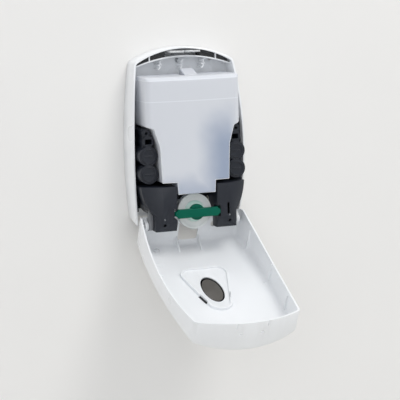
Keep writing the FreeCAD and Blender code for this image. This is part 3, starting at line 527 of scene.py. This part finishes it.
class DISPENSER_OT_refill(bpy.types.Operator):
    """Frosted refill bottle with its seams, pinched rim and outlet"""
    bl_idname = "dispenser.refill"
    bl_label = "Refill"

    def outline(self, low, high, top):
        """Front outline: wide above, stepped in past the tubes and the drive."""
        step = 24.0 * MM      # foot of the wide part, above the battery tubes
        shoulder = low.z + 19.0 * MM      # underside of the narrow part, over the drive
        right = [(high.x, top), (high.x, step), (high.x - 11 * MM, step - 4 * MM),
                 (57.5 * MM, -8 * MM), (55.5 * MM, shoulder),
                 (32.0 * MM, shoulder), (31.0 * MM, low.z)]
        return right + [(-x, z) for x, z in reversed(right)]

    def bow(self, vert, low, high):
        """Bring the front forward in the middle and back at its sides."""
        share = (high.y - vert.co.y) / (high.y - low.y)
        vert.co.y += settings().bottle_bow * share * (vert.co.x / high.x) ** 2

    def body(self, low, high, top):
        s = settings()
        mesh = bmesh.new()
        corners = [mesh.verts.new((x, low.y, z)) for x, z in self.outline(low, high, top)]
        front = mesh.faces.new(corners)
        pull_out(mesh, [front], (0.0, high.y - low.y, 0.0))
        bmesh.ops.recalc_face_normals(mesh, faces=mesh.faces)
        tall = [e for e in mesh.edges if all(abs(abs(v.co.x) - high.x) < 1e-5 and
                v.co.y < low.y + 1e-5 for v in e.verts)]
        bmesh.ops.bevel(mesh, geom=tall, offset=s.bottle_corner, offset_type="OFFSET", segments=6,
                        profile=0.5, affect="EDGES", material=-1)
        sharp = [e for e in mesh.edges if len(e.link_faces) == 2 and
                 e.calc_face_angle(0.0) > math.radians(35)]
        bmesh.ops.bevel(mesh, geom=sharp, offset=2.0 * MM, offset_type="OFFSET", segments=3,
                        profile=0.5, affect="EDGES", material=-1, clamp_overlap=True)
        for step in range(-7, 8):      # upright cuts that let the front bend
            bmesh.ops.bisect_plane(mesh, geom=mesh.verts[:] + mesh.edges[:] + mesh.faces[:],
                                   plane_co=(step * 9 * MM, 0, 0), plane_no=(1, 0, 0))
        for height, reach in ((s.bottle_seam, 0.45), (s.bottle_rim, 0.8)):
            for shift in (-CREASE, 0.0, CREASE):
                bmesh.ops.bisect_plane(mesh, geom=mesh.verts[:] + mesh.edges[:] + mesh.faces[:],
                                       plane_co=(0, 0, height + shift), plane_no=(0, 0, 1))
            mesh.normal_update()
            for vert in mesh.verts:
                if abs(vert.co.z - height) < 1e-5:
                    vert.co += Vector((vert.normal.x, vert.normal.y, 0.0)) * reach * MM
        for vert in mesh.verts:
            self.bow(vert, low, high)
        return mesh

    def ridge(self, mesh, top):
        """Sloping ridge on top, left where the mould pinched the neck."""
        s = settings()
        half = s.ridge_width / 2
        profile = ((-29, -3.0), (-29, 8.6), (-34, 9.8), (-60, 0.6), (-60, -3.0))
        corners = [mesh.verts.new((s.ridge_x - half, y * MM, top + z * MM)) for y, z in profile]
        side = mesh.faces.new(corners)
        moved = pull_out(mesh, [side], (2 * half, 0.0, 0.0))
        faces = {f for v in corners + moved for f in v.link_faces}
        bmesh.ops.recalc_face_normals(mesh, faces=list(faces))
        edges = [e for e in {e for f in faces for e in f.edges}
                 if min(v.co.z for v in e.verts) > top + 0.3 * MM]
        bmesh.ops.bevel(mesh, geom=edges, offset=4.5 * MM, offset_type="OFFSET", segments=5,
                        profile=0.5, affect="EDGES", material=-1, clamp_overlap=True)

    def execute(self, context):
        s = settings()
        low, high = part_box("refill_bottle")
        top = BOTTLE_TOP
        frosted = frosted_hdpe_with_painted_shade("frosted HDPE, blow moulded, painted shade", tuple(s.bottle),
                                        tuple(s.bottle_painted_shade), SHADE_X, low.z,
                                        (s.bottle_seam, s.bottle_rim))
        mesh = self.body(low, high, top)
        self.ridge(mesh, top)
        finish_piece("refill_bottle_shell", mesh, frosted, "housing", "frosted_hdpe",
                     "refill_bottle")
        # The pinched rim is a real raised flash, but its paler white is a painted highlight for the
        # bright edge of the refill's wall; the outlet shares this white as its own colour.
        rim = satin_plastic("frosted HDPE flash, paler as painted highlight", linear("F4F6F8"), linear("E8ECEF"))
        line = bpy.data.curves.new("pinched_rim", "CURVE")
        line.dimensions = "3D"
        line.bevel_depth = BEAD
        line.bevel_resolution = 2
        spline = line.splines.new("POLY")
        points = self.outline(low, high, top)[1:-1]
        spline.points.add(len(points) - 1)
        for point, (x, z) in zip(spline.points, points):
            inset = BEAD if x > 0 else -BEAD
            y = low.y + s.bottle_bow * (x / high.x) ** 2 + BEAD
            if abs(x) > high.x - MM:
                y += s.bottle_corner * 0.75
            point.co = (x - inset, y, z + 0.5 * MM, 1.0)
        wire = bpy.data.objects.new("pinched_rim", line)
        context.scene.collection.objects.link(wire)
        bead = bmesh.new()
        bead.from_mesh(bpy.data.meshes.new_from_object(wire))
        bpy.data.objects.remove(wire)
        finish_piece("refill_pinched_rim", bead, rim, "housing", "frosted_hdpe")
        dress("refill_outlet", rim, 0.3)
        return {"FINISHED"}


class DISPENSER_OT_pump(bpy.types.Operator):
    """White foam pump, its silicone dome and its nozzle"""
    bl_idname = "dispenser.pump"
    bl_label = "Foam pump"

    def execute(self, context):
        white = satin_plastic("white polypropylene, injection moulded", linear("E6E9E8"),
                              linear("DADEDD"), (0.3, 0.42))
        mint = soft_silicone("mint silicone, cast", linear("D3EBE2"), linear("C4E2D8"))
        for name in ("pump_body", "pump_nozzle"):
            dress(name, white, 0.4)
        squeezed("pump_diaphragm")
        dress("pump_diaphragm", mint, 0.0, 40.0)
        return {"FINISHED"}


class DISPENSER_OT_drive(bpy.types.Operator):
    """Green yoke, gears, shaft, motor and springs"""
    bl_idname = "dispenser.drive"
    bl_label = "Drive"

    def execute(self, context):
        s = settings()
        green = satin_plastic("green acetal, injection moulded", tuple(s.yoke),
                              shade_of(s.yoke, 0.85), (0.26, 0.36), shine=0.15)
        acetal = satin_plastic("natural acetal, injection moulded", linear("E2E0D6"),
                               linear("D6D3C6"))
        squeezed("return_springs")
        squeezed("latch_springs")
        zinc = metal("steel, bright zinc plated", linear("C3C5C7"), linear("ABAEB1"), (0.2, 0.34))
        brass = metal("brass, turned", linear("D8B56B"), linear("B8934C"), (0.18, 0.3))
        for name in ("actuator_yoke", "plunger_button"):
            dress(name, green, 0.35)
        for name in ("drive_gear", "rack_pinion_left", "rack_pinion_right", "shaft_bushes"):
            dress(name, acetal, 0.12)
        for name in ("drive_shaft", "hinge_pins", "carrier_screws", "drive_motor", "motor_bracket",
                     "nozzle_mesh"):
            dress(name, zinc, 0.2)
        for name in ("latch_springs", "return_springs", "battery_contacts", "pump_inlet_valve"):
            dress(name, zinc, 0.0, 60.0)
        dress("motor_pinion", brass, 0.08)
        return {"FINISHED"}


class DISPENSER_OT_details(bpy.types.Operator):
    """Dark strip put in the window surround's slot as a painted shadow, and the screw in the upper
    recess
    """
    bl_idname = "dispenser.details"
    bl_label = "Small details"

    def strip(self):
        """Dark strip put in the surround's slot as a painted shadow, where there is only shade,
        modelled shut and swung down with the cover."""
        mesh = bmesh.new()
        corners = []
        for x, z in ((-28.2, 1.2), (-24.8, 0.2), (-19.2, 18.8), (-22.6, 19.8)):
            corners.append(mesh.verts.new((x * MM, (-93.6 + 0.0625 * z) * MM, z * MM)))
        top = mesh.faces.new(corners)
        pull_out(mesh, [top], (0.0, -0.9 * MM, 0.0))
        bmesh.ops.recalc_face_normals(mesh, faces=mesh.faces)
        bmesh.ops.bevel(mesh, geom=mesh.edges, offset=0.2 * MM, offset_type="OFFSET", segments=2,
                        profile=0.5, affect="EDGES", material=-1, clamp_overlap=True)
        hinge = Vector(HINGE["pos_m"])
        swing = Matrix.Rotation(OPEN_ANGLE, 4, "X")
        bmesh.ops.transform(mesh, verts=mesh.verts, matrix=Matrix.Translation(hinge) @ swing @
                            Matrix.Translation(-hinge))
        return mesh

    def screw(self, place, radius):
        """Pan head screw with a round recess, its head towards -Y."""
        mesh = bmesh.new()
        bmesh.ops.create_circle(mesh, cap_ends=True, radius=radius, segments=32)
        pull_out(mesh, mesh.faces[:], (0.0, 0.0, 0.5 * radius))
        bmesh.ops.recalc_face_normals(mesh, faces=mesh.faces)
        rim = [e for e in mesh.edges if all(v.co.z > 0.4 * radius for v in e.verts)]
        bmesh.ops.bevel(mesh, geom=rim, offset=0.4 * radius, offset_type="OFFSET", segments=4,
                        profile=0.5, affect="EDGES", material=-1, clamp_overlap=True)
        cap = max(mesh.faces, key=lambda f: f.calc_center_median().z)
        bmesh.ops.inset_region(mesh, faces=[cap], thickness=0.12 * radius)
        bmesh.ops.translate(mesh, verts=cap.verts, vec=(0.0, 0.0, -0.3 * radius))
        turn = Matrix.Rotation(math.radians(90), 4, "X")
        bmesh.ops.transform(mesh, verts=mesh.verts, matrix=Matrix.Translation(place) @ turn)
        return mesh

    def execute(self, context):
        slot_shadow_paint = soft_silicone("black, painted slot shadow", linear("26272A"), linear("1E1F22"))
        zinc = metal("steel, bright zinc plated, head", linear("B9BBBE"), linear("9C9FA3"),
                     (0.2, 0.34))
        # painted shadow: a dark strip in the surround's slot, where there is only shade
        finish_piece("surround_shadow_strip", self.strip(), slot_shadow_paint, "cover", "chip_black")
        finish_piece("recess_screw", self.screw(Vector((-1.0, -2.4, 121.0)) * MM, 3.4 * MM), zinc,
                     "housing", "steel")
        for x in (54.0, -54.0):
            place = Vector((x, -79.4, -121.0)) * MM
            finish_piece("block_screw_%s" % ("right" if x > 0 else "left"),
                         self.screw(place, 1.55 * MM), zinc, "housing", "steel")
        return {"FINISHED"}


class DISPENSER_OT_power(bpy.types.Operator):
    """Cells, circuit board and hand sensor"""
    bl_idname = "dispenser.power"
    bl_label = "Cells and board"

    def execute(self, context):
        jacket = satin_plastic("cell sleeve, shrunk PVC", linear("2C2E33"), linear("24262B"),
                               (0.22, 0.3))
        mask = circuit_mask("circuit board, solder mask", linear("14603C"), linear("2E8A5C"))
        chip = satin_plastic("epoxy, transfer moulded", linear("17181A"), linear("1F2022"))
        for side in ("left", "right"):
            for level in ("lower", "upper"):
                dress("battery_%s_%s" % (side, level), jacket, 0.4)
        dress("circuit_board", mask, 0.1)
        dress("board_chips", chip, 0.15)
        dress("hand_sensor", chip, 0.3)
        return {"FINISHED"}


class DISPENSER_OT_stage(bpy.types.Operator):
    """Wall, floor, soft lights and the camera"""
    bl_idname = "dispenser.stage"
    bl_label = "Stage"

    def sheet(self, name, size, place, turn, material):
        mesh = bmesh.new()
        bmesh.ops.create_grid(mesh, x_segments=1, y_segments=1, size=size / 2)
        bmesh.ops.transform(mesh, matrix=Matrix.Translation(place) @ turn, verts=mesh.verts)
        data = bpy.data.meshes.new(name)
        mesh.to_mesh(data)
        mesh.free()
        data.materials.append(material)
        sheet = bpy.data.objects.new(name, data)
        bpy.context.scene.collection.objects.link(sheet)

    def lamp(self, name, place, aim, size, power, tint):
        data = bpy.data.lights.new(name, "AREA")
        data.shape = "DISK"
        data.size = size
        data.energy = power
        data.color = linear(tint)
        lamp = bpy.data.objects.new(name, data)
        lamp.matrix_world = Matrix.Translation(place) @ (
            Vector(aim) - Vector(place)).to_track_quat("-Z", "Y").to_matrix().to_4x4()
        bpy.context.scene.collection.objects.link(lamp)

    def execute(self, context):
        scene = context.scene
        s = scene.dispenser_stage
        wall = painted_wall("painted plaster, rolled", tuple(s.wall), shade_of(s.wall, 0.985))
        floor = satin_plastic("sealed floor, troweled", tuple(s.floor), shade_of(s.floor, 0.97),
                              (0.6, 0.7), 2.0, 0.02)
        upright = Matrix.Rotation(math.radians(90), 4, "X")
        self.sheet("wall", 5.0, (0.0, 0.0012, 0.9), upright, wall)
        self.sheet("floor", 9.0, (0.0, 0.0, -1.1), Matrix.Identity(4), floor)
        middle = (0.0, -0.1, -0.05)
        self.lamp("key", (0.9, -1.7, 2.4), middle, 1.3, s.key_power, "FFFDFA")
        self.lamp("fill", (-1.0, -2.5, 0.7), middle, 1.8, s.fill_power, "F8FAFF")
        self.lamp("rear", (0.4, 2.2, 1.4), middle, 1.5, s.fill_power * 0.5, "FFFFFF")
        world = bpy.data.worlds.new("even room")
        world.use_nodes = True
        room = world.node_tree
        height = add(room, "ShaderNodeSeparateXYZ", {
            "Vector": add(room, "ShaderNodeTexCoord").outputs["Generated"]}).outputs["Z"]
        tint = blend(room, spread(room, height, 0.0, 1.0, -0.45, 0.2), linear("9E9FA2"),
                     linear("F8FAFD"))
        room.links.new(tint, room.nodes["Background"].inputs["Color"])
        room.nodes["Background"].inputs["Strength"].default_value = s.room_light
        scene.world = world
        scene.view_settings.view_transform = "Standard"

        azimuth, elevation, roll = (math.radians(a) for a in (19.74, 9.36, -1.47))
        look = Vector((math.sin(azimuth) * math.cos(elevation),
                       math.cos(azimuth) * math.cos(elevation), -math.sin(elevation)))
        level = Vector((math.cos(azimuth), -math.sin(azimuth), 0.0))
        above = level.cross(look)
        right = level * math.cos(roll) + above * math.sin(roll)
        up = above * math.cos(roll) - level * math.sin(roll)
        target = Vector((-0.0252, -0.16291, -0.07955))
        data = bpy.data.cameras.new("camera")
        data.lens = 123.64
        data.sensor_width = 36.0
        data.dof.use_dof = False
        camera = bpy.data.objects.new("camera", data)
        turn = Matrix((right, up, -look)).transposed().to_4x4()
        camera.matrix_world = Matrix.Translation(target - look * s.distance) @ turn
        scene.collection.objects.link(camera)
        scene.camera = camera
        return {"FINISHED"}


class DISPENSER_PT_panel(bpy.types.Panel):
    bl_idname = "DISPENSER_PT_panel"
    bl_label = "Dispenser"
    bl_space_type = "VIEW_3D"
    bl_region_type = "UI"
    bl_category = "Dispenser"

    def draw(self, context):
        layout = self.layout
        finish, stage = context.scene.dispenser_finish, context.scene.dispenser_stage
        for group in (finish, stage):
            box = layout.box()
            for name in group.__annotations__:
                box.prop(group, name)
        for operator in OPERATORS:
            layout.operator(operator.bl_idname)


OPERATORS = (DISPENSER_OT_casing, DISPENSER_OT_latch, DISPENSER_OT_carrier, DISPENSER_OT_refill,
             DISPENSER_OT_pump, DISPENSER_OT_drive, DISPENSER_OT_details, DISPENSER_OT_power,
             DISPENSER_OT_stage)
CLASSES = (DispenserFinishSettings, DispenserStageSettings, *OPERATORS, DISPENSER_PT_panel)


def register():
    for item in CLASSES:
        bpy.utils.register_class(item)
    bpy.types.Scene.dispenser_finish = PointerProperty(type=DispenserFinishSettings)
    bpy.types.Scene.dispenser_stage = PointerProperty(type=DispenserStageSettings)


def unregister():
    del bpy.types.Scene.dispenser_stage
    del bpy.types.Scene.dispenser_finish
    for item in reversed(CLASSES):
        bpy.utils.unregister_class(item)


def main():
    register()
    for operator in OPERATORS:
        group, name = operator.bl_idname.split(".")
        getattr(getattr(bpy.ops, group), name)()


if __name__ == "__main__":
    main()
